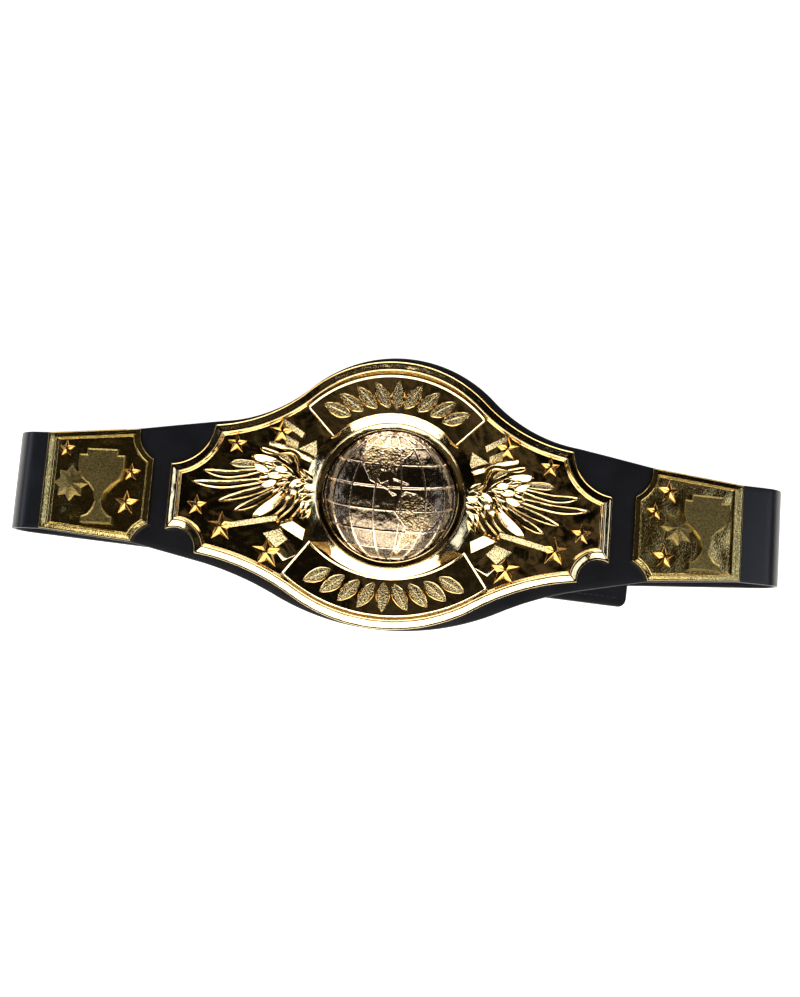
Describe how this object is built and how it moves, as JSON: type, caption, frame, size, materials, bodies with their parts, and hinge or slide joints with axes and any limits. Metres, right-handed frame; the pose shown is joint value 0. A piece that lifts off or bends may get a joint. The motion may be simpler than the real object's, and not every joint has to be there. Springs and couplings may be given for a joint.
{
  "type": "championship title belt",
  "caption": "Costume championship title belt: black leather-cloth strap closed in a loop, gold moulded main plate with a globe, wings and stars, and a smaller gold plate at each side.",
  "frame": {"origin": "on the table under the globe's centre, on the outside of the strap's outer end, which lies flat there", "axes": "+X along the belt towards the wearer's left, +Y up across the belt as it is worn, +Z out of the front plates, away from the table that the belt lies on"},
  "size_m": [0.4818, 0.1643, 0.0826],
  "materials": {
    "leather_cloth": "black fine-grained satin leather cloth",
    "hook_cloth": "black sewn-on hook and loop cloth",
    "gold_plate": "moulded plastic, vacuum-metallised in bright gold"
  },
  "bodies": {
    "root": {"strap": "leather_cloth", "hook_patch": "hook_cloth", "loop_patch": "hook_cloth", "main_plate": "gold_plate", "globe": "gold_plate", "side_plate_left": "gold_plate", "side_plate_right": "gold_plate"}
  },
  "joints": []
}
